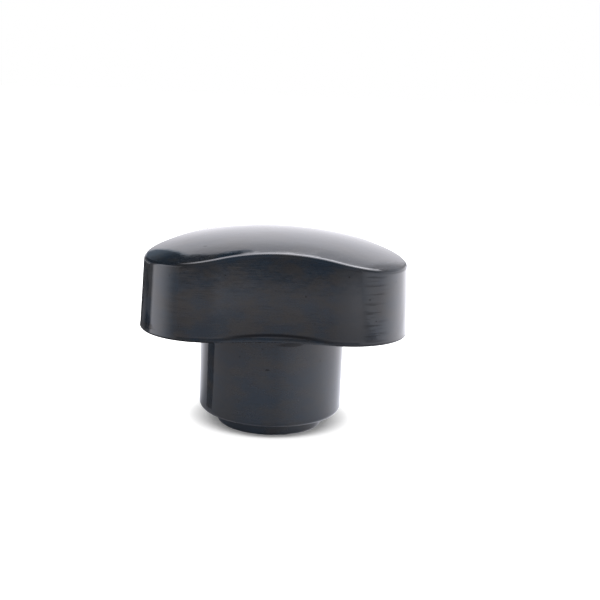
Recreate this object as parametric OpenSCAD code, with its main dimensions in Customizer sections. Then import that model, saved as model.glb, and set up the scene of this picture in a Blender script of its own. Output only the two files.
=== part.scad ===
// Three-lobed star knob: a moulded phenolic body over a blind threaded brass insert.
// Origin at the centre of the seating face, +Z up the axis towards the domed top.
// One lobe points along +Y; the valley between the other two faces -Y.

/* [Head] */
// Number of lobes
lobes = 3; // [3, 4]
// Diameter of the circle round the lobe tips, at the lower rim
knob_d = 50; // [43:0.5:60]
// Radius of a lobe's tip in plan
lobe_r = 11.3; // [9.4:0.1:13.5]
// Depth of a valley below the straight line that touches the two lobes beside it
valley_depth = 1.35; // [0.5:0.05:3]
// Height from the head's underside to the top of the dome
head_h = 16.6; // [12:0.1:20]
// Radius of the sphere that the top follows
dome_r = 70; // [55:1:200]
// Draft of the side wall, in degrees
wall_draft = 3; // [0.5:0.1:4]
// Radius along the edge between wall and dome
top_edge_r = 0.8; // [0.4:0.1:1.5]
// Radius along the lower rim
rim_edge_r = 0.4; // [0.2:0.1:1]

/* [Hub] */
// Diameter of the hub where it leaves the head
hub_d = 25.9; // [21.5:0.1:30]
// Length of the hub, from the head's underside to its lower face
hub_l = 16.2; // [12:0.1:20]
// Draft of the hub, in degrees
hub_draft = 0.1; // [0:0.1:2]
// Radius along the hub's lower edge
hub_edge_r = 0.9; // [0.5:0.1:2]

/* [Seating boss] */
// Thickness of the boss's wall round the insert's knurl
boss_wall = 2.6; // [1.5:0.1:3]
// Height of the boss below the hub
boss_h = 2.6; // [1:0.1:3.5]
// Radius along the boss's lower edge
boss_edge_r = 0.5; // [0.2:0.1:1]

/* [Insert] */
// Nominal diameter of the thread
thread_d = 10; // [8:1:12]
// Pitch of the thread
thread_pitch = 1.5; // [1:0.25:1.75]
// Depth of the tapped hole, without its drill point
thread_l = 18; // [12:0.5:22]
// Thickness of the insert from the thread's nominal diameter to the tips of its knurl
insert_wall = 2; // [1.7:0.1:2.3]
// Thickness left beyond the drill point
end_wall = 2.5; // [1.5:0.1:4]
// Chamfer round the closed end
end_chamfer = 0.8; // [0.4:0.1:1.2]
// Depth of the knurl's teeth
knurl_depth = 0.5; // [0.3:0.05:0.8]
// Number of teeth round the knurl
knurl_teeth = 36; // [24:2:48]
// Depth of the plain lands and the retaining groove below the knurl's roots
land_depth = 0.4; // [0.2:0.05:0.8]
// Length of the plain land at each end
land_l = 2; // [1.5:0.1:3]
// Width of the retaining groove between the two knurled bands
groove_w = 3; // [1.5:0.1:4]

/* [Hidden] */

// Colours
PHENOLIC = [0.05, 0.055, 0.065];
BRASS = [0.72, 0.56, 0.28];

// Head: the plan outline is a chain of tangent arcs, convex on the lobes and concave in the valleys
head_z = boss_h + hub_l;
lobe_step = 360 / lobes;
lobe_centre = knob_d / 2 - lobe_r;
valley_reach = lobe_centre * cos(lobe_step / 2) + lobe_r - valley_depth;
valley_r = (pow(lobe_centre, 2) + pow(valley_reach, 2) - pow(lobe_r, 2)
    - 2 * lobe_centre * valley_reach * cos(lobe_step / 2)) / (2 * valley_depth);
valley_centre = valley_reach + valley_r;
// Half the angle of each valley's arc, seen from its own centre, and of each lobe's arc
valley_half = atan2(lobe_centre * sin(lobe_step / 2), valley_centre - lobe_centre * cos(lobe_step / 2));
lobe_half = lobe_step / 2 + valley_half;
LOBE_STEPS = 24;
VALLEY_STEPS = 10;
RIM_STEPS = 5;
EDGE_STEPS = 6;
DOME_STEPS = 8;
dome_z = head_z + head_h - dome_r;
FIRST_LOBE = 90;

// Insert
// A metric thread's bore is its nominal diameter less this many pitches
MINOR_SHARE = 1.0825;
// Diameter of the countersink's mouth, as a share of the thread's nominal diameter
SINK_SHARE = 1.05;
SINK_ANGLE = 120;
DRILL_ANGLE = 118;
bore_r = (thread_d - MINOR_SHARE * thread_pitch) / 2;
sink_l = (SINK_SHARE * thread_d / 2 - bore_r) / tan(SINK_ANGLE / 2);
drill_point_l = bore_r / tan(DRILL_ANGLE / 2);
insert_d = thread_d + 2 * insert_wall;
insert_l = thread_l + drill_point_l + end_wall;
band_l = (insert_l - 2 * land_l - groove_w) / 2;
boss_d = insert_d + 2 * boss_wall;

// How far one solid runs into another that it joins or cuts
OVERLAP = 1;

function turned(p, a) = [p.x * cos(a) - p.y * sin(a), p.x * sin(a) + p.y * cos(a)];

// Points along an arc, from angle a to angle b
function arc(centre, r, a, b, steps) =
    [for (i = [0:steps]) centre + r * [cos(a + (b - a) * i / steps), sin(a + (b - a) * i / steps)]];

// The outline's points, each as [point, outward normal], for a lobe whose tip points along +X
// and the valley that follows it
function lobe_and_valley() = concat(
    [for (i = [0:LOBE_STEPS - 1]) let (a = lobe_half * (2 * i / LOBE_STEPS - 1), n = [cos(a), sin(a)])
        [[lobe_centre, 0] + lobe_r * n, n]],
    [for (i = [0:VALLEY_STEPS - 1])
        let (a = lobe_step / 2 + valley_half * (1 - 2 * i / VALLEY_STEPS), n = [cos(a), sin(a)])
        [valley_centre * [cos(lobe_step / 2), sin(lobe_step / 2)] - valley_r * n, n]]
);

outline = [for (k = [0:lobes - 1], q = lobe_and_valley())
    let (a = FIRST_LOBE + k * lobe_step) [turned(q[0], a), turned(q[1], a)]];

// A point of the drafted wall, or inside it, from the outline's point q
function inside(q, depth, z) = let (p = q[0] - depth * q[1]) [p.x, p.y, z];

// Centre of the ball that rolls along the edge between wall and dome, at the outline's point q
function edge_ball(q) = let (
    s = q[0] - top_edge_r / cos(wall_draft) * q[1],
    k = head_z - dome_z,
    t = tan(wall_draft),
    a = 1 + t * t,
    b = k - t * (s * q[1]),
    c = s * s + k * k - pow(dome_r - top_edge_r, 2),
    h = (sqrt(b * b - a * c) - b) / a
) inside([s, q[1]], h * t, head_z + h);

function wall_normal(q) = [q[1].x * cos(wall_draft), q[1].y * cos(wall_draft), sin(wall_draft)];

// From unit vector a to unit vector b, at share t of the angle between them
function between(a, b, t) = let (w = acos(a * b)) (a * sin(w * (1 - t)) + b * sin(w * t)) / sin(w);

function edge_point(q, t) = let (
    ball = edge_ball(q),
    up = (ball - [0, 0, dome_z]) / (dome_r - top_edge_r)
) ball + top_edge_r * between(wall_normal(q), up, t);

function dome_point(p, share) = let (x = p.x * share, y = p.y * share)
    [x, y, dome_z + sqrt(dome_r * dome_r - x * x - y * y)];

// Rings of the head from the underside up to the apex
rim_depth = rim_edge_r * (tan(wall_draft) + 1 / cos(wall_draft));
head_rings = concat(
    [for (c = arc([0, rim_edge_r], rim_edge_r, -90, wall_draft, RIM_STEPS))
        [for (q = outline) inside(q, rim_depth - c.x, head_z + c.y)]],
    [for (i = [0:EDGE_STEPS]) [for (q = outline) edge_point(q, i / EDGE_STEPS)]],
    [for (i = [1:DOME_STEPS - 1]) [for (q = outline) dome_point(edge_point(q, 1), 1 - i / DOME_STEPS)]]
);

// A closed skin over rings of equal length, with a fan of triangles round a point at each end
module skin(rings, bottom, top) {
    n = len(rings[0]);
    last = len(rings) - 1;
    under = (last + 1) * n;
    over = under + 1;
    polyhedron(
        points = [for (r = rings, p = r) p, bottom, top],
        faces = concat(
            [for (i = [0:n - 1]) [i, (i + 1) % n, under]],
            [for (j = [0:last - 1], i = [0:n - 1])
                let (a = j * n + i, b = j * n + (i + 1) % n) each [[b, a, a + n], [b, a + n, b + n]]],
            [for (i = [0:n - 1]) [last * n + (i + 1) % n, last * n + i, over]]
        )
    );
}

module head() {
    skin(head_rings, [0, 0, head_z], [0, 0, head_z + head_h]);
}

// Hub and boss in one turned profile, which runs on into the head
module hub() {
    hub_r = hub_d / 2;
    foot_r = hub_r - hub_l * tan(hub_draft);
    top_z = head_z + OVERLAP;
    rotate_extrude($fn = 96)
        polygon(concat(
            [[0, 0]],
            arc([boss_d / 2 - boss_edge_r, boss_edge_r], boss_edge_r, -90, 0, 6),
            [[boss_d / 2, boss_h]],
            arc([foot_r - hub_edge_r, boss_h + hub_edge_r], hub_edge_r, -90, 0, 8),
            [[hub_r, head_z], [hub_r, top_z], [0, top_z]]
        ));
}

// A straight-knurled band that starts at height z
module knurl(z) {
    tip_r = insert_d / 2;
    translate([0, 0, z])
        linear_extrude(height = band_l)
            polygon([for (i = [0:2 * knurl_teeth - 1])
                let (r = tip_r - (i % 2) * knurl_depth, a = 180 * i / knurl_teeth) [r * cos(a), r * sin(a)]]);
}

// The insert's outer form, which the body is moulded round
module insert_form() {
    core_r = insert_d / 2 - knurl_depth - land_depth;
    rotate_extrude($fn = 96)
        polygon([
            [0, 0],
            [core_r, 0],
            [core_r, insert_l - end_chamfer],
            [core_r - end_chamfer, insert_l],
            [0, insert_l]
        ]);
    knurl(land_l);
    knurl(insert_l - land_l - band_l);
}

// The tapped hole: countersink, bore at the thread's crests and drill point
module tapped_hole() {
    rotate_extrude($fn = 96)
        polygon([
            [0, -OVERLAP],
            [SINK_SHARE * thread_d / 2 + OVERLAP * tan(SINK_ANGLE / 2), -OVERLAP],
            [bore_r, sink_l],
            [bore_r, thread_l],
            [0, thread_l + drill_point_l]
        ]);
}

module knob_body() {
    color(PHENOLIC)
        difference() {
            union() {
                head();
                hub();
            }
            insert_form();
        }
}

module threaded_insert() {
    color(BRASS)
        difference() {
            insert_form();
            tapped_hole();
        }
}

knob_body();
threaded_insert();
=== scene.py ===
import math

import bmesh
import bpy
import numpy as np
from mathutils import Matrix, Vector


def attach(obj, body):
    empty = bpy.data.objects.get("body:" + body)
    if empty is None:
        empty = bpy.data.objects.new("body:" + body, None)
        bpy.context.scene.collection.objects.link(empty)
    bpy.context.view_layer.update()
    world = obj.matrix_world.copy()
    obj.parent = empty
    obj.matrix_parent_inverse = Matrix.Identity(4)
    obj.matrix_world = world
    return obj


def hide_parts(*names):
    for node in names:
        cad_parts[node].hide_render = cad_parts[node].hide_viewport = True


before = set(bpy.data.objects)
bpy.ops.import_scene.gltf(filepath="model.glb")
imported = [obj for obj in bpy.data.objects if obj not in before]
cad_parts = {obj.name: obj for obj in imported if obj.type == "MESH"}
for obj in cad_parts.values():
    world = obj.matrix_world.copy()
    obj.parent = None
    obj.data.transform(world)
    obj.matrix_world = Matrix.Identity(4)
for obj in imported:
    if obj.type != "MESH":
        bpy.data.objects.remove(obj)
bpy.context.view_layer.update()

# Sizes in mm, as in the part
LOBES, KNOB_D, LOBE_R, VALLEY_DEPTH, HEAD_H, DOME_R = 3, 50.0, 11.3, 1.35, 16.6, 70.0
DRAFT, TOP_EDGE, RIM_EDGE = math.radians(3), 0.8, 0.4
HUB_D, HUB_L, HUB_DRAFT, HUB_EDGE = 25.9, 16.2, math.radians(0.1), 0.9
BOSS_H, BOSS_EDGE, BOSS_WALL = 2.6, 0.5, 2.6
THREAD_D, PITCH, THREAD_L, INSERT_WALL, END_WALL = 10.0, 1.5, 18.0, 2.0, 2.5
END_CHAMFER, KNURL, TEETH, LAND_DEPTH, LAND_L, GROOVE_W = 0.8, 0.5, 36, 0.4, 2.0, 3.0
FIRST_LOBE = math.pi / 2
# Shares and angles of the tapped hole, as in the part
MINOR_SHARE, SINK_SHARE = 1.0825, 1.05
DRILL_HALF, SINK_HALF = math.radians(59), math.radians(60)
# Small forms that only the visual model has: the roots of hub and boss, the rim's parting line and the
# chamfers of the open end
ROOT_FILLET, BOSS_ROOT, PARTING, LIP, BRASS_CHAMFER = 0.5, 0.15, 0.04, 0.08, 0.12
# Share of the wall's height over which the parting line dies out
PARTING_SHARE = 0.055
# Distance from an edge to the row of points that supports it
NEAR = 0.05
# Length at the thread's inner end over which it isn't cut
RUN_OUT = 1.2

HEAD_Z = BOSS_H + HUB_L
BORE_R = (THREAD_D - MINOR_SHARE * PITCH) / 2
SINK_R = SINK_SHARE * THREAD_D / 2
POINT_Z = THREAD_L + BORE_R / math.tan(DRILL_HALF)
INSERT_R = THREAD_D / 2 + INSERT_WALL
INSERT_L = POINT_Z + END_WALL
BAND_L = (INSERT_L - 2 * LAND_L - GROOVE_W) / 2
CORE_R = INSERT_R - KNURL - LAND_DEPTH
BOSS_R = INSERT_R + BOSS_WALL
COLUMNS = 2 * TEETH * 7


def tidy(mesh, sharp=30):
    mesh.polygons.foreach_set("use_smooth", [True] * len(mesh.polygons))
    mesh.set_sharp_from_angle(angle=math.radians(sharp))
    mesh.validate()
    mesh.update()


def grid(name, rows, first, last, columns):
    """A closed skin over rows of points round the axis, in mm, with a point at each end."""
    n = len(rows)
    verts = np.concatenate([*rows, [first], [last]]) / 1000
    i, j = np.meshgrid(np.arange(n - 1), np.arange(columns), indexing="ij")
    k = (j + 1) % columns
    quads = np.stack([i * columns + j, i * columns + k, (i + 1) * columns + k, (i + 1) * columns + j], -1)
    a = np.arange(columns)
    b = (a + 1) % columns
    low = np.stack([b, a, np.full(columns, n * columns)], -1)
    top = np.stack([a + (n - 1) * columns, b + (n - 1) * columns, np.full(columns, n * columns + 1)], -1)
    mesh = bpy.data.meshes.new(name)
    mesh.from_pydata(verts.tolist(), [], quads.reshape(-1, 4).tolist() + low.tolist() + top.tolist())
    obj = bpy.data.objects.new(name, mesh)
    bpy.context.collection.objects.link(obj)
    tidy(mesh)
    return obj


THETA = np.arange(COLUMNS) * 2 * math.pi / COLUMNS


def ring(r, z, theta=THETA):
    r = np.broadcast_to(np.asarray(r, float), theta.shape)
    z = np.broadcast_to(np.asarray(z, float), theta.shape)
    return np.stack([r * np.cos(theta), r * np.sin(theta), z], -1)


def turned(points):
    return [ring(r, z) for r, z in points]


def arc(r0, z0, r, start, end, steps):
    """Points round a corner of the turned profile, angles in degrees from the outward direction."""
    a = np.radians(np.linspace(start, end, steps + 1))
    return [(r0 + r * math.cos(t), z0 + r * math.sin(t)) for t in a]


def knurled(theta):
    """The knurl's radius at each angle: straight flanks between tips and roots."""
    at = theta / (2 * math.pi) * 2 * TEETH
    low = np.floor(at + 1e-9).astype(int)
    radius = INSERT_R - (np.arange(2 * TEETH + 2) % 2) * KNURL
    tip = np.arange(2 * TEETH + 2) * math.pi / TEETH
    a = np.stack([radius[low] * np.cos(tip[low]), radius[low] * np.sin(tip[low])], -1)
    b = np.stack([radius[low + 1] * np.cos(tip[low + 1]), radius[low + 1] * np.sin(tip[low + 1])], -1)
    d = np.stack([np.cos(theta), np.sin(theta)], -1)
    side = b - a
    return (a[:, 0] * side[:, 1] - a[:, 1] * side[:, 0]) / (d[:, 0] * side[:, 1] - d[:, 1] * side[:, 0])


def insert_form(theta):
    """The insert's outer form, from the edge of its open end to the edge of its closed end."""
    teeth = knurled(theta)
    top_band = INSERT_L - LAND_L - BAND_L
    return [
        ring(CORE_R, 0, theta),
        ring(CORE_R, LAND_L, theta),
        ring(teeth, LAND_L, theta),
        ring(teeth, LAND_L + BAND_L, theta),
        ring(CORE_R, LAND_L + BAND_L, theta),
        ring(CORE_R, top_band, theta),
        ring(teeth, top_band, theta),
        ring(teeth, top_band + BAND_L, theta),
        ring(CORE_R, top_band + BAND_L, theta),
        ring(CORE_R, INSERT_L - END_CHAMFER, theta),
        ring(CORE_R - END_CHAMFER, INSERT_L, theta),
    ]


# The head's outline: at each angle a point and the outward normal
half = math.pi / LOBES
lobe_c = KNOB_D / 2 - LOBE_R
reach = lobe_c * math.cos(half) + LOBE_R - VALLEY_DEPTH
valley_r = (lobe_c**2 + reach**2 - LOBE_R**2 - 2 * lobe_c * reach * math.cos(half)) / (2 * VALLEY_DEPTH)
valley_c = reach + valley_r
valley_half = math.atan2(lobe_c * math.sin(half), valley_c - lobe_c * math.cos(half))
meet = np.array([lobe_c + LOBE_R * math.cos(half + valley_half), LOBE_R * math.sin(half + valley_half)])
meet_angle = math.atan2(meet[1], meet[0])
off = (THETA - FIRST_LOBE + half) % (2 * half) - half
turn = THETA - off
on_lobe = np.abs(off) <= meet_angle
lobe_reach = lobe_c * np.cos(off) + np.sqrt(np.maximum(LOBE_R**2 - (lobe_c * np.sin(off)) ** 2, 0))
to_valley = half - np.abs(off)
valley_depth = np.sqrt(np.maximum(valley_r**2 - (valley_c * np.sin(to_valley)) ** 2, 0))
valley_reach = valley_c * np.cos(to_valley) - valley_depth
radius = np.where(on_lobe, lobe_reach, valley_reach)
point = np.stack([radius * np.cos(THETA), radius * np.sin(THETA)], -1)
lobe_at = lobe_c * np.stack([np.cos(turn), np.sin(turn)], -1)
valley_turn = turn + np.sign(off) * half
valley_at = valley_c * np.stack([np.cos(valley_turn), np.sin(valley_turn)], -1)
normal = np.where(on_lobe[:, None], (point - lobe_at) / LOBE_R, (valley_at - point) / valley_r)


def inside(depth, z):
    p = point - np.asarray(depth)[..., None] * normal
    return np.concatenate([p, np.broadcast_to(np.asarray(z, float), radius.shape)[:, None]], -1)


# Ball that rolls along the edge between wall and dome. Its centre lies where a line that starts at s and
# climbs along the wall meets the sphere TOP_EDGE inside the dome. qa, qb and qc are the quadratic's terms.
dome_z = HEAD_Z + HEAD_H - DOME_R
s = point - TOP_EDGE / math.cos(DRAFT) * normal
k, t = HEAD_Z - dome_z, math.tan(DRAFT)
qa = 1 + t * t
qb = k - t * (s * normal).sum(1)
qc = (s * s).sum(1) + k * k - (DOME_R - TOP_EDGE) ** 2
rise = (np.sqrt(qb * qb - qa * qc) - qb) / qa
ball = np.concatenate([s - (rise * t)[:, None] * normal, (HEAD_Z + rise)[:, None]], -1)
wall_n = np.concatenate([normal * math.cos(DRAFT), np.full((COLUMNS, 1), math.sin(DRAFT))], -1)
dome_n = (ball - [0, 0, dome_z]) / (DOME_R - TOP_EDGE)
sweep = np.arccos((wall_n * dome_n).sum(1))[:, None]


def edge(share):
    n = (wall_n * np.sin(sweep * (1 - share)) + dome_n * np.sin(sweep * share)) / np.sin(sweep)
    return ball + TOP_EDGE * n


def dome(share):
    p = edge(1)[:, :2] * share
    return np.concatenate([p, (dome_z + np.sqrt(DOME_R**2 - (p * p).sum(1)))[:, None]], -1)


# The moulding, from the closed end of the insert's pocket, out over the boss and up to the dome
hub_r = HUB_D / 2
foot_r = hub_r - HUB_L * math.tan(HUB_DRAFT)
rim_depth = RIM_EDGE * (t + 1 / math.cos(DRAFT))


def rim_row(a):
    up = 1 + math.sin(a)
    return inside(rim_depth - RIM_EDGE * math.cos(a) - PARTING * up, HEAD_Z + RIM_EDGE * up)


rim = [rim_row(a) for a in np.linspace(-math.pi / 2, DRAFT, 11)]
wall_low = inside(rim_depth - RIM_EDGE * math.cos(DRAFT), HEAD_Z + RIM_EDGE * (1 + math.sin(DRAFT)))
wall_high = edge(0)
wall_out = np.concatenate([normal, np.zeros((COLUMNS, 1))], -1)
wall = [
    wall_low + (wall_high - wall_low) * f + wall_out * PARTING * max(0, 1 - f / PARTING_SHARE) ** 2
    for f in (0.001, 0.008, 0.016, 0.024, 0.032, 0.04, 0.048, 0.056, 0.07, 0.25, 0.5, 0.75, 0.99)
]
pocket = insert_form(THETA)[::-1]
body_rows = [
    *pocket[:-1],
    ring(CORE_R, LIP),
    *turned(
        [
            (CORE_R + LIP, 0),
            *arc(BOSS_R - BOSS_EDGE, BOSS_EDGE, BOSS_EDGE, -90, 0, 8),
            (BOSS_R, BOSS_H - BOSS_ROOT),
            (BOSS_R + BOSS_ROOT, BOSS_H),
            (foot_r - HUB_EDGE - NEAR, BOSS_H),
            *arc(foot_r - HUB_EDGE, BOSS_H + HUB_EDGE, HUB_EDGE, -90, 0, 12),
            (foot_r + 0.0005, BOSS_H + HUB_EDGE + NEAR),
            (foot_r + (hub_r - foot_r) * 0.3, BOSS_H + HUB_L * 0.3),
            (foot_r + (hub_r - foot_r) * 0.65, BOSS_H + HUB_L * 0.65),
            (hub_r - 0.005, HEAD_Z - ROOT_FILLET - NEAR),
            *arc(hub_r + ROOT_FILLET, HEAD_Z - ROOT_FILLET, ROOT_FILLET, 180, 90, 6),
            (hub_r + ROOT_FILLET + NEAR, HEAD_Z),
        ]
    ),
    inside(rim_depth + NEAR, HEAD_Z),
    *rim,
    *wall,
    *[edge(f) for f in np.linspace(0, 1, 15)],
    *[dome(f) for f in (0.998, 0.98, *np.linspace(0.96, 0.04, 24))],
]
body = grid("knob_moulding", body_rows, (0, 0, INSERT_L), (0, 0, HEAD_Z + HEAD_H), COLUMNS)

# The insert: its outer form, then the countersink, the helical thread and the drill point
SPINS = 2 * TEETH * 2
turn_at = np.arange(SPINS + 1) * 2 * math.pi / SPINS
STEPS = 12
thread_end = THREAD_L - RUN_OUT


def thread_r(z, theta):
    """Radius of the tapped hole at a height and an angle."""
    phase = np.mod((z / PITCH - theta / (2 * math.pi)), 1.0)
    depth = THREAD_D / 2 - BORE_R
    dist = np.abs(phase - 0.5)
    shape = np.clip((0.375 - dist) / (0.375 - 0.0625), 0, 1)
    fade = np.clip((thread_end - z) / PITCH, 0, 1)
    sink = SINK_R - z * math.tan(SINK_HALF)
    return np.maximum(BORE_R + depth * shape * fade, sink)


turns = int(math.ceil(THREAD_L / PITCH)) + 2
bore_rows = []
for step in range(turns * STEPS):
    z = np.clip((step / STEPS - 1 + turn_at / (2 * math.pi)) * PITCH, 0, THREAD_L)
    bore_rows.append(ring(thread_r(z, turn_at), z, turn_at))
outer = insert_form(turn_at)
outer[0] = ring(CORE_R, BRASS_CHAMFER, turn_at)
insert_rows = [*outer[::-1], ring(CORE_R - BRASS_CHAMFER, 0, turn_at), *bore_rows]
insert_verts = np.concatenate([*insert_rows, [(0, 0, INSERT_L)], [(0, 0, POINT_Z)]])
rows, columns = len(insert_rows), SPINS + 1
i, j = np.meshgrid(np.arange(rows - 1), np.arange(columns - 1), indexing="ij")
corner = i * columns + j
quads = np.stack([corner, corner + 1, corner + columns + 1, corner + columns], -1).reshape(-1, 4)
a = np.arange(columns - 1)
b = a + (rows - 1) * columns
caps = np.concatenate(
    [
        np.stack([a + 1, a, np.full(columns - 1, rows * columns)], -1),
        np.stack([b, b + 1, np.full(columns - 1, rows * columns + 1)], -1),
    ]
)
mesh = bpy.data.meshes.new("brass_insert")
mesh.from_pydata((insert_verts / 1000).tolist(), [], quads.tolist() + caps.tolist())
insert = bpy.data.objects.new("brass_insert", mesh)
bpy.context.collection.objects.link(insert)
bm = bmesh.new()
bm.from_mesh(mesh)
bmesh.ops.remove_doubles(bm, verts=bm.verts, dist=2e-7)
bmesh.ops.dissolve_degenerate(bm, edges=bm.edges, dist=1e-7)
bmesh.ops.recalc_face_normals(bm, faces=bm.faces)
bm.to_mesh(mesh)
bm.free()
tidy(mesh, 25)


# ---- Materials ----
class Nodes:
    """Short forms for building a node tree."""

    def __init__(self, tree):
        self.tree = tree
        tree.nodes.clear()

    def feed(self, socket, value):
        if isinstance(value, bpy.types.NodeSocket):
            self.tree.links.new(value, socket)
        else:
            socket.default_value = value

    def add(self, kind, inputs=None, **props):
        node = self.tree.nodes.new(kind)
        for key, value in props.items():
            setattr(node, key, value)
        for key, value in (inputs or {}).items():
            self.feed(node.inputs[key], value)
        return node

    def math(self, op, a, b=0.0, clamp=False):
        return self.add("ShaderNodeMath", {0: a, 1: b}, operation=op, use_clamp=clamp).outputs[0]

    def plus(self, a, b):
        return self.math("ADD", a, b)

    def minus(self, a, b):
        return self.math("SUBTRACT", a, b)

    def times(self, a, b):
        return self.math("MULTIPLY", a, b)

    def most(self, a, b):
        return self.math("MAXIMUM", a, b)

    def apart(self, a, b):
        return self.math("ABSOLUTE", self.minus(a, b))

    def radius(self, x, y):
        return self.math("SQRT", self.plus(self.math("POWER", x, 2.0), self.math("POWER", y, 2.0)))

    def ramp(self, value, a, b, c=0.0, d=1.0, smooth=True):
        return self.add(
            "ShaderNodeMapRange",
            {"Value": value, "From Min": a, "From Max": b, "To Min": c, "To Max": d},
            interpolation_type="SMOOTHSTEP" if smooth else "LINEAR",
        ).outputs[0]

    def noise(self, vector, scale, detail=2.0, rough=0.5):
        inputs = {"Vector": vector, "Scale": scale, "Detail": detail, "Roughness": rough}
        return self.add("ShaderNodeTexNoise", inputs).outputs["Fac"]

    def stretch(self, vector, x, y, z):
        return self.add("ShaderNodeVectorMath", {0: vector, 1: (x, y, z)}, operation="MULTIPLY").outputs[0]

    def mix(self, share, a, b):
        node = self.add("ShaderNodeMix", {"Factor": share}, data_type="RGBA")
        # A colour mix has its two colours at 6 and 7, and its colour result at 2
        self.feed(node.inputs[6], a)
        self.feed(node.inputs[7], b)
        return node.outputs[2]


def material(name):
    m = bpy.data.materials.new(name)
    m.use_nodes = True
    return m, Nodes(m.node_tree)


def bump(n, height, strength, distance, normal=None):
    inputs = {"Height": height, "Strength": strength, "Distance": distance}
    if normal:
        inputs["Normal"] = normal
    return n.add("ShaderNodeBump", inputs).outputs[0]


def phenolic(name, faced):
    """Moulded phenolic: glossy, with flow marks, rubbing lines, specks, streaks and dents, painted shade
    along the rim and a thin dark line up into the valleys.

    faced adds the turned finish of the seating face.
    """
    m, n = material(name)
    at = n.add("ShaderNodeTexCoord").outputs["Object"]
    flow = n.noise(at, 150, 3, 0.55)
    peel = n.noise(at, 900, 3, 0.55)
    rub = n.noise(n.stretch(at, 230, 230, 3000), 1.0, 4, 0.62)
    worn = n.ramp(n.noise(n.stretch(at, 1.0, 1.0, 1.6), 120, 3, 0.6), 0.42, 0.68)
    cloud = n.noise(n.stretch(at, 1.0, 1.0, 1.8), 170, 5, 0.62)
    cells = n.add("ShaderNodeTexVoronoi", {"Vector": at, "Scale": 330.0}, feature="F1").outputs["Distance"]
    speck = n.ramp(cells, 0.07, 0.03)
    place = n.add("ShaderNodeSeparateXYZ", {0: at})
    r = n.radius(place.outputs[0], place.outputs[1])
    # Short rubbed streaks round the lobes' tips
    base_r = n.plus(r, n.times(place.outputs[2], 0.052))
    tips = n.ramp(n.apart(base_r, 0.0247), 0.0003, 0.0010, 1.0, 0.0)
    tips = n.times(tips, n.ramp(place.outputs[0], -0.01, 0.01, 0.25, 1.0))
    streak = n.ramp(n.noise(n.stretch(at, 170, 170, 2100), 1.0, 2, 0.55), 0.46, 0.62, 0.0, 0.75)
    scratch = n.times(streak, n.times(tips, n.ramp(place.outputs[2], 0.0335, 0.0325)))
    # Three small darkened dents: on the dome, on the hub, and a longer one on the hub just under the head's
    # rim
    dent = None
    for spot, half_size in (
        ((-0.012, -0.0105, 0.0335), (0.0005, 0.0004, 0.0004)),
        ((-0.001, -0.013, 0.013), (0.0005, 0.0005, 0.0002)),
        ((0.0029, -0.0125, 0.01745), (0.0030, 0.0012, 0.00042)),
    ):
        away = n.add("ShaderNodeVectorMath", {0: at, 1: spot}, operation="SUBTRACT").outputs[0]
        away = n.add("ShaderNodeVectorMath", {0: away, 1: half_size}, operation="DIVIDE").outputs[0]
        away = n.add("ShaderNodeVectorMath", {0: away}, operation="LENGTH").outputs["Value"]
        near = n.ramp(away, 1.1, 0.3)
        dent = near if dent is None else n.most(dent, near)
    # Painted shade along the rim's lower edge on the lobes, and a thin darker line that climbs the wall into
    # the valleys
    rim = n.times(n.ramp(place.outputs[2], 0.01895, 0.0193, 1.0, 0.0), n.ramp(r, 0.0190, 0.0215))
    climb = n.minus(n.plus(place.outputs[2], n.times(r, 0.2)), 0.02347)
    line = n.ramp(n.math("ABSOLUTE", climb), 0.00008, 0.00042, 0.82, 0.0)
    line = n.times(line, n.ramp(r, 0.0174, 0.0208, 1.0, 0.1))
    rim_shade_and_dark_line = n.times(n.most(rim, line), n.ramp(place.outputs[2], 0.0186, 0.0188))
    normal = bump(n, flow, 0.30, 0.0001)
    normal = bump(n, peel, 0.14, 0.00003, normal)
    normal = bump(n, n.times(rub, worn), 0.32, 0.00002, normal)
    normal = bump(n, n.plus(scratch, n.most(speck, dent)), -0.35, 0.00002, normal)
    rough = n.plus(n.ramp(cloud, 0.3, 0.75, 0.05, 0.10), n.times(n.ramp(rub, 0.45, 0.75, 0.0, 0.09), worn))
    if faced:
        turn = n.noise(n.add("ShaderNodeCombineXYZ", {0: r}).outputs[0], 9000, 3, 0.7)
        normal = bump(n, turn, 0.5, 0.00003, normal)
        rough = n.plus(rough, 0.22)
    mark = n.most(n.most(speck, scratch), n.math("MULTIPLY", dent, 1.6, clamp=True))
    rough = n.plus(rough, n.times(n.most(mark, rim_shade_and_dark_line), 0.12))
    base = n.mix(n.ramp(cloud, 0.36, 0.66), (0.0085, 0.0150, 0.0245, 1), (0.0170, 0.0175, 0.0195, 1))
    base = n.mix(n.times(n.ramp(rub, 0.5, 0.7), 0.4), base, (0.006, 0.009, 0.014, 1))
    # The lower front of one lobe is a little greyer than the others
    grey_lobe_front = n.times(n.ramp(place.outputs[0], 0.0085, 0.0118), n.ramp(place.outputs[0], 0.0175, 0.0140))
    lower_front = n.times(n.ramp(place.outputs[1], -0.010, -0.014), n.ramp(place.outputs[2], 0.0335, 0.0300))
    grey_lobe_front = n.times(grey_lobe_front, lower_front)
    base = n.mix(n.times(grey_lobe_front, 0.75), base, (0.0235, 0.0265, 0.0325, 1))
    # Marks, the painted shade at the rim and the thin dark line darken the colour and lower the gloss
    base = n.mix(n.most(n.times(mark, 0.6), n.times(rim_shade_and_dark_line, 0.95)), base, (0.003, 0.0035, 0.005, 1))
    gloss = n.minus(0.5, n.most(n.times(mark, 0.2), n.times(rim_shade_and_dark_line, 0.44)))
    shader = n.add(
        "ShaderNodeBsdfPrincipled",
        {"Base Color": base, "Roughness": rough, "IOR": 1.55, "Normal": normal, "Specular IOR Level": gloss},
    )
    n.add("ShaderNodeOutputMaterial", {"Surface": shader.outputs[0]})
    return m


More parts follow.
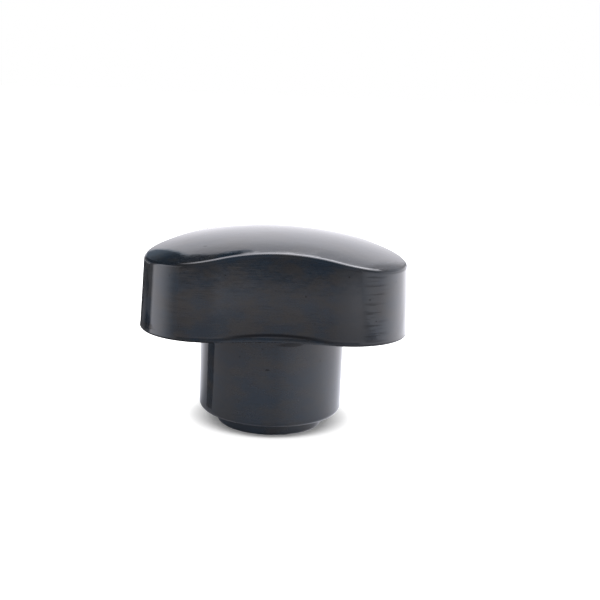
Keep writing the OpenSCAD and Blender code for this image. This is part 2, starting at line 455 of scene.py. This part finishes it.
def brass(name):
    m, n = material(name)
    at = n.add("ShaderNodeTexCoord").outputs["Object"]
    sep = n.add("ShaderNodeSeparateXYZ", {0: at})
    r = n.radius(sep.outputs[0], sep.outputs[1])
    across = n.add("ShaderNodeCombineXYZ", {0: r, 2: sep.outputs[2]}).outputs[0]
    turn = n.noise(across, 7000, 4, 0.65)
    stain = n.noise(at, 350, 5, 0.6)
    normal = bump(n, turn, 0.45, 0.00003)
    rough = n.plus(n.ramp(turn, 0.3, 0.7, 0.18, 0.3), n.ramp(stain, 0.45, 0.7, 0.0, 0.15))
    base = n.mix(n.ramp(stain, 0.4, 0.75), (0.78, 0.60, 0.30, 1), (0.52, 0.38, 0.18, 1))
    shader = n.add(
        "ShaderNodeBsdfPrincipled",
        {"Base Color": base, "Metallic": 1.0, "Roughness": rough, "Normal": normal},
    )
    n.add("ShaderNodeOutputMaterial", {"Surface": shader.outputs[0]})
    return m


body.data.materials.append(phenolic("phenolic_gloss", False))
body.data.materials.append(phenolic("phenolic_faced", True))
seat = [
    1 if p.center.z < 0.00004 and CORE_R / 1000 < math.hypot(p.center.x, p.center.y) else 0
    for p in body.data.polygons
]
body.data.polygons.foreach_set("material_index", seat)
insert.data.materials.append(brass("brass_turned"))

for obj, node, slot in ((body, "knob_body", "phenolic"), (insert, "threaded_insert", "brass")):
    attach(obj, "root")
    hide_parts(node)

# ---- Floor and surroundings ----
# The cards, the floor's glow and the room's bright and dark parts are shown to glossy rays only, so they
# colour what the gloss reflects. The object is lit by the world, more from the front, and by the white floor.
TINT = (1.0, 0.99, 1.055, 1)


def sheet(name, corners):
    """A flat face through corners in mm."""
    data = bpy.data.meshes.new(name)
    data.from_pydata([tuple(v / 1000 for v in c) for c in corners], [], [tuple(range(len(corners)))])
    obj = bpy.data.objects.new(name, data)
    bpy.context.collection.objects.link(obj)
    return obj


def card(name, corners, strength):
    """A card for reflections.

    strength is a number, or a function of the nodes and of the place's x, y and z.
    """
    obj = sheet(name, corners)
    obj.visible_camera = obj.visible_diffuse = obj.visible_shadow = False
    obj.visible_transmission = obj.visible_volume_scatter = False
    m, n = material(name)
    if callable(strength):
        at = n.add("ShaderNodeSeparateXYZ", {0: n.add("ShaderNodeTexCoord").outputs["Object"]})
        strength = strength(n, *at.outputs)
    glow = n.add("ShaderNodeEmission", {"Color": TINT, "Strength": strength})
    n.add("ShaderNodeOutputMaterial", {"Surface": glow.outputs[0]})
    m.cycles.emission_sampling = "NONE"
    obj.data.materials.append(m)
    return obj


SPAN = 3000
floor = sheet("floor", [(-SPAN, -SPAN, 0), (SPAN, -SPAN, 0), (SPAN, SPAN, 0), (-SPAN, SPAN, 0)])
m, n = material("floor_white")
path = n.add("ShaderNodeLightPath")
at = n.add("ShaderNodeSeparateXYZ", {0: n.add("ShaderNodeTexCoord").outputs["Object"]})
# out is the distance from the axis, and round_to the azimuth from the front (-Y) in degrees
round_to = n.math("DEGREES", n.math("ARCTAN2", at.outputs[0], n.times(at.outputs[1], -1.0)))
out = n.radius(at.outputs[0], at.outputs[1])
# The paper as the gloss reflects it: dark far in front, bright behind and close round the knob
shade = n.most(n.ramp(out, 0.23, 0.42, 1.0, 0.13), n.ramp(at.outputs[1], 0.0, 0.08))
shade = n.times(shade, n.ramp(out, 0.015, 0.022, 0.85, 1.0))
shade = n.times(shade, n.ramp(out, 0.06, 0.13, 1.5, 1.0))
in_front = n.times(n.ramp(out, 0.09, 0.13), n.ramp(n.math("ABSOLUTE", round_to), 75, 45))
shade = n.times(shade, n.minus(1.0, n.times(in_front, n.ramp(out, 0.15, 0.23, 0.36, 0.0))))
warm = n.mix(n.ramp(out, 0.02, 0.09), (0.56, 0.565, 0.63, 1), (0.635, 0.575, 0.565, 1))
paper = n.mix(shade, (0, 0, 0, 1), warm)
paper = n.mix(path.outputs["Is Glossy Ray"], (0.97, 0.97, 0.97, 1), paper)
# Its glow to the right, to the left and behind
far = n.ramp(out, 0.07, 0.11)
dip = n.ramp(n.apart(round_to, 47.0), 0, 20, 0.4, 1.0)
far_right = n.plus(n.ramp(round_to, 50, 85, 0.0, 0.95), n.ramp(at.outputs[0], 0.0, 0.1, 0.0, 0.28))
far_right = n.times(far_right, dip)
corner = n.times(n.ramp(round_to, 88, 100, 0.0, 0.95), n.ramp(round_to, 165, 135))
near_right = n.ramp(round_to, 5, 85, 0.0, 0.82, smooth=False)
right = n.plus(n.times(n.plus(far_right, corner), far), n.times(near_right, n.minus(1.0, far)))
right = n.times(right, n.ramp(round_to, 150, 180, 1.0, 0.65))
left = n.ramp(round_to, -100, -140, 0.0, 0.6)
behind = n.ramp(at.outputs[1], 0.12, 0.3, 0.0, 0.7)
extra = n.plus(n.times(n.plus(right, left), shade), behind)
# To the camera the floor glows white, fading out close to the boss: the soft shadow round it is real shading
# with a painted edge from that fade
clear = n.plus(0.0171, n.times(n.math("DIVIDE", at.outputs[1], out), 0.0058))
white = n.plus(n.ramp(out, 0.0098, clear, 0.0, 0.5), n.ramp(out, 0.013, 0.022, 0.0, 0.7))
lift = n.plus(n.times(path.outputs["Is Glossy Ray"], extra), n.times(path.outputs["Is Camera Ray"], white))
glow_colour = n.mix(path.outputs["Is Glossy Ray"], (1, 1, 1, 1), (0.95, 0.97, 1.06, 1))
glow = n.add("ShaderNodeEmission", {"Color": glow_colour, "Strength": lift})
cover = n.add("ShaderNodeBsdfDiffuse", {"Color": paper})
surface = n.add("ShaderNodeAddShader", {0: cover.outputs[0], 1: glow.outputs[0]})
n.add("ShaderNodeOutputMaterial", {"Surface": surface.outputs[0]})
m.cycles.emission_sampling = "NONE"
floor.data.materials.append(m)


def light_right(n, x, y, z):
    low = n.plus(n.ramp(y, -0.22, -0.09, 0.6, 1.35, smooth=False), n.ramp(y, -0.09, 0.02, 0.0, 1.6))
    high = n.plus(n.ramp(y, -0.22, -0.09, 0.5, 0.95), n.ramp(y, -0.1, 0.03, 0.0, 1.05))
    share = n.ramp(z, 0.016, 0.030)
    return n.plus(n.times(high, share), n.times(low, n.minus(1.0, share)))


def light_left(n, x, y, z):
    return n.times(n.ramp(y, -0.095, -0.005, 0.55, 2.15), n.ramp(y, 0.012, 0.031, 1.0, 0.12))


def patchy(n, x, y, z):
    place = n.add("ShaderNodeCombineXYZ", {0: x, 1: y}).outputs[0]
    return n.ramp(n.noise(place, 24, 3, 0.6), 0.35, 0.65, 0.02, 0.22)


card("card_right", [(120, -230, 0), (120, 170, 0), (120, 170, 75), (120, -230, 75)], light_right)
card("card_left", [(-120, -110, 0), (-120, 50, 0), (-120, 50, 105), (-120, -110, 105)], light_left)
dark_outline = ((-120, 24), (-80, 30), (-45, 45), (-24, 62), (-24, 600), (-600, 600), (-600, 24))
card("card_dark", [(*corner, 0.4) for corner in dark_outline], patchy)
thin_outline = ((-20, 0.5), (-20, -4), (-74, 9), (-68, 32))
card("card_thin", [(*corner, 0.3) for corner in thin_outline], 0.15)

# The room: height is a direction's elevation, and across its azimuth from the back (+Y), both in degrees
world = bpy.data.worlds.new("studio")
bpy.context.scene.world = world
world.use_nodes = True
world.cycles.sampling_method = "NONE"
n = Nodes(world.node_tree)
path = n.add("ShaderNodeLightPath")
way = n.add("ShaderNodeSeparateXYZ", {0: n.add("ShaderNodeTexCoord").outputs["Generated"]})
x, y, z = way.outputs
height = n.math("DEGREES", n.math("ARCSINE", z))
across = n.math("DEGREES", n.math("ARCTAN2", x, y))
# A lit backdrop, and above it a lamp whose lower edge climbs to both sides
backdrop = n.times(n.ramp(height, 23, 34, 1.50, 1.12), n.ramp(across, -14, 0, 0.80, 1.0))
lamp_edge = n.ramp(across, 12, 21, 34.6, 32.4, smooth=False)
for near, far, climb in ((-4, -10, 4.5), (-13, -33, 11.0), (-33, -73, 9.2), (22, 42, 13.0)):
    lamp_edge = n.plus(lamp_edge, n.ramp(across, near, far, 0.0, climb, smooth=False))
above = n.minus(height, lamp_edge)
lamp = n.plus(n.ramp(above, 0, 1.5, 0.0, 2.6), n.ramp(above, 3, 13, 0.0, 3.0))
# Straight up an azimuth means nothing, so what depends on it fades to one value there
upright = n.ramp(height, 55, 72)
for span, overhead in (
    (n.ramp(across, -110, -75), 1.0),
    (n.ramp(across, -10, 8, 0.45, 1.0), 0.7),
    (n.ramp(across, 112, 92), 1.0),
):
    span = n.plus(span, n.times(n.minus(overhead, span), upright))
    lamp = n.times(lamp, span)
lamp = n.times(lamp, n.ramp(y, -0.15, 0.05))
# The dark between the backdrop and the lamp, and beyond the backdrop's left edge
top_edge = n.ramp(across, -8.5, -14.5, 33.3, 29.2)
top = n.times(n.ramp(n.minus(height, top_edge), -0.9, 0.9), n.ramp(across, -1, -5))
top = n.times(top, n.ramp(across, -175, -105))
deep = n.plus(n.ramp(height, 12.4, 15.4, 0.0, 0.8), n.ramp(height, 18, 27, 0.0, 0.2))
side = n.times(deep, n.ramp(n.plus(across, n.times(height, 0.035)), -12.0, -12.9))
side = n.times(side, n.ramp(across, -175, -105))
gap = n.times(n.most(top, side), 0.96)
# Darker stretches of the backdrop at its left and right
low_left = n.plus(n.ramp(across, -35, -60, 0.0, 0.4), n.ramp(across, -110, -175, 0.0, 0.34))
low_left = n.minus(n.ramp(across, -18, -27, 0.0, 0.82), low_left)
right_side = n.minus(n.ramp(across, 18.0, 20.2, 0.0, 0.5), n.ramp(across, 24, 45, 0.0, 0.42))
seen = backdrop
for dark in (gap, low_left, right_side):
    dark = n.times(dark, n.minus(1.0, upright))
    seen = n.times(seen, n.minus(1.0, dark))
glint = n.ramp(n.apart(across, 38.0), 2, 6, 1.2, 0.0)
glint = n.plus(1.0, n.times(glint, n.minus(1.0, upright)))
seen = n.plus(seen, n.times(lamp, glint))
seen = n.times(seen, n.ramp(y, 0.0, -0.45, 1.0, 0.17))
# Glossy rays see this room, diffuse rays a soft light that grows towards the front, and the camera white
lit = n.ramp(y, -0.1, -0.9, 0.9, 1.7)
glossy = path.outputs["Is Glossy Ray"]
diffuse = path.outputs["Is Diffuse Ray"]
level = n.plus(n.times(glossy, n.minus(seen, 1.0)), 1.0)
level = n.plus(level, n.times(diffuse, n.minus(lit, 1.0)))
cool = n.mix(n.times(gap, n.ramp(above, 0.5, -1.0)), TINT, (0.78, 1.0, 1.27, 1))
colour = n.mix(glossy, (1, 1, 1, 1), cool)
sky = n.add("ShaderNodeBackground", {"Color": colour, "Strength": level})
n.add("ShaderNodeOutputWorld", {"Surface": sky.outputs[0]})

# ---- Camera ----
ELEVATION, TURN, ROLL = math.radians(13.7), math.radians(-91.8), math.radians(2.09)
DISTANCE = 0.1810
aim = Vector((0, 0, HEAD_Z / 1000))
flat = math.cos(ELEVATION)
back = Vector((math.cos(TURN) * flat, math.sin(TURN) * flat, math.sin(ELEVATION)))
camera = bpy.data.objects.new("camera", bpy.data.cameras.new("camera"))
bpy.context.collection.objects.link(camera)
camera.data.sensor_width = 36
camera.data.lens = 60
camera.data.shift_x, camera.data.shift_y = 0.0456, 0.0319
camera.data.clip_start = 0.01
facing = (-back).to_track_quat("-Z", "Y").to_matrix().to_4x4()
camera.matrix_world = Matrix.Translation(aim + back * DISTANCE) @ (facing @ Matrix.Rotation(ROLL, 4, "Z"))
bpy.context.scene.camera = camera

bpy.context.scene.view_settings.view_transform = "Standard"
